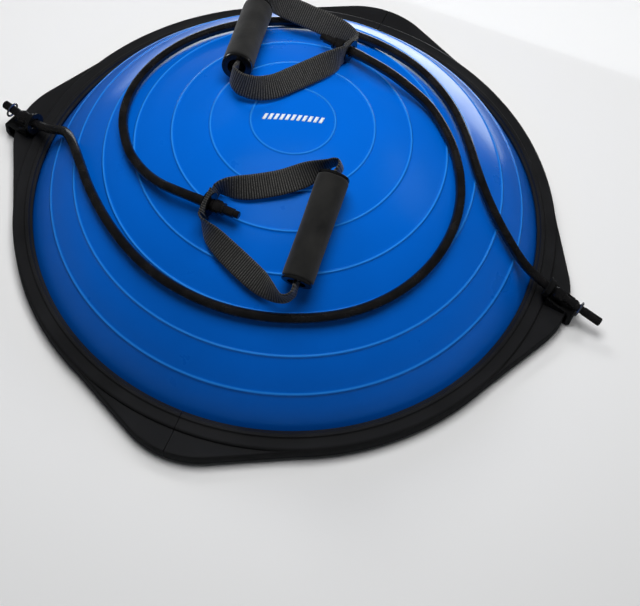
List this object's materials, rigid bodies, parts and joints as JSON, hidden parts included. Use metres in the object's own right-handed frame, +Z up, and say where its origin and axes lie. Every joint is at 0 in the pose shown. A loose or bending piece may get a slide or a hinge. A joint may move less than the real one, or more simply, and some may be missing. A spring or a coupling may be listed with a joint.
{
  "type": "balance dome trainer",
  "caption": "Half-ball balance trainer: an air-filled blue dome clamped to a flat black base with four ears, with two resistance tubes and foam-grip handles lying on the dome.",
  "frame": {"origin": "on the floor under the middle of the dome", "axes": "+Z up, X through the two ears that hold the resistance tubes, Y through the two grip ears"},
  "size_m": [0.6953, 0.64, 0.2007],
  "materials": {
    "tray_plastic": "fine satin moulding grain",
    "ring_plastic": "fine satin moulding grain",
    "hook_plastic": "semi-gloss black moulding",
    "screw_steel": "zinc plated",
    "dome_vinyl": "glossy blue soft vinyl",
    "floor_vinyl": "satin blue soft vinyl",
    "foot_rubber": "matt non-slip rubber",
    "valve_plastic": "satin black plastic",
    "plated_steel": "bright nickel plate",
    "eyelet_metal": "glossy black nickel",
    "stop_ball_plastic": "hard grey plastic",
    "tube_rubber": "glossy black latex",
    "webbing": "ribbed black nylon webbing",
    "grip_foam": "matt charcoal closed-cell foam",
    "core_plastic": "extruded plastic tube",
    "cap_plastic": "glossy black plastic"
  },
  "bodies": {
    "trainer": {"base_tray": "tray_plastic", "clamp_ring_left": "ring_plastic", "clamp_ring_right": "ring_plastic", "ring_screws": "screw_steel", "bladder_dome": "dome_vinyl", "bladder_floor": "floor_vinyl", "rubber_feet": "foot_rubber", "valve_body": "valve_plastic", "valve_nut": "valve_plastic", "ear_hook_left": "hook_plastic", "tube_left": "tube_rubber", "tube_left_anchor_end": "tube_rubber", "tube_left_anchor_ball": "stop_ball_plastic", "tube_left_keeper_ring": "plated_steel", "ear_hook_right": "hook_plastic", "tube_right": "tube_rubber", "tube_right_anchor_end": "tube_rubber", "tube_right_anchor_ball": "stop_ball_plastic", "tube_right_keeper_ring": "plated_steel"},
    "front_handle": {"front_strap": "webbing", "front_eyelet": "eyelet_metal", "tube_right_handle_end": "tube_rubber", "tube_right_handle_ball": "stop_ball_plastic"},
    "front_grip": {"front_grip_foam": "grip_foam", "front_grip_core": "core_plastic", "front_grip_cap_plus": "cap_plastic", "front_grip_cap_minus": "cap_plastic"},
    "rear_handle": {"rear_strap": "webbing", "rear_eyelet": "eyelet_metal", "tube_left_handle_end": "tube_rubber", "tube_left_handle_ball": "stop_ball_plastic"},
    "rear_grip": {"rear_grip_foam": "grip_foam", "rear_grip_core": "core_plastic", "rear_grip_cap_plus": "cap_plastic", "rear_grip_cap_minus": "cap_plastic"},
    "valve_plug": {"valve_plug": "valve_plastic"}
  },
  "joints": [
    {"name": "front_handle_lift", "type": "hinge", "parent": "trainer", "child": "front_handle", "pos_m": [-0.04792, -0.12207, 0.16038], "axis": [-0.0569, -0.9295, -0.3644], "range_deg": [0, 80]},
    {"name": "front_grip_spin", "type": "hinge", "parent": "front_handle", "child": "front_grip", "pos_m": [0.06895, -0.111, 0.16465], "axis": [-0.0447, 0.9421, 0.3324], "continuous": true},
    {"name": "rear_handle_lift", "type": "hinge", "parent": "trainer", "child": "rear_handle", "pos_m": [0.02642, 0.1111, 0.16706], "axis": [0.1849, 0.9254, -0.3308], "range_deg": [0, 80]},
    {"name": "rear_grip_spin", "type": "hinge", "parent": "rear_handle", "child": "rear_grip", "pos_m": [-0.0845, 0.08225, 0.1704], "axis": [0.1837, -0.9492, 0.2555], "continuous": true},
    {"name": "valve_plug_pull", "type": "slide", "parent": "trainer", "child": "valve_plug", "axis": [0, 0, -1], "range_m": [0, 0.02]}
  ]
}
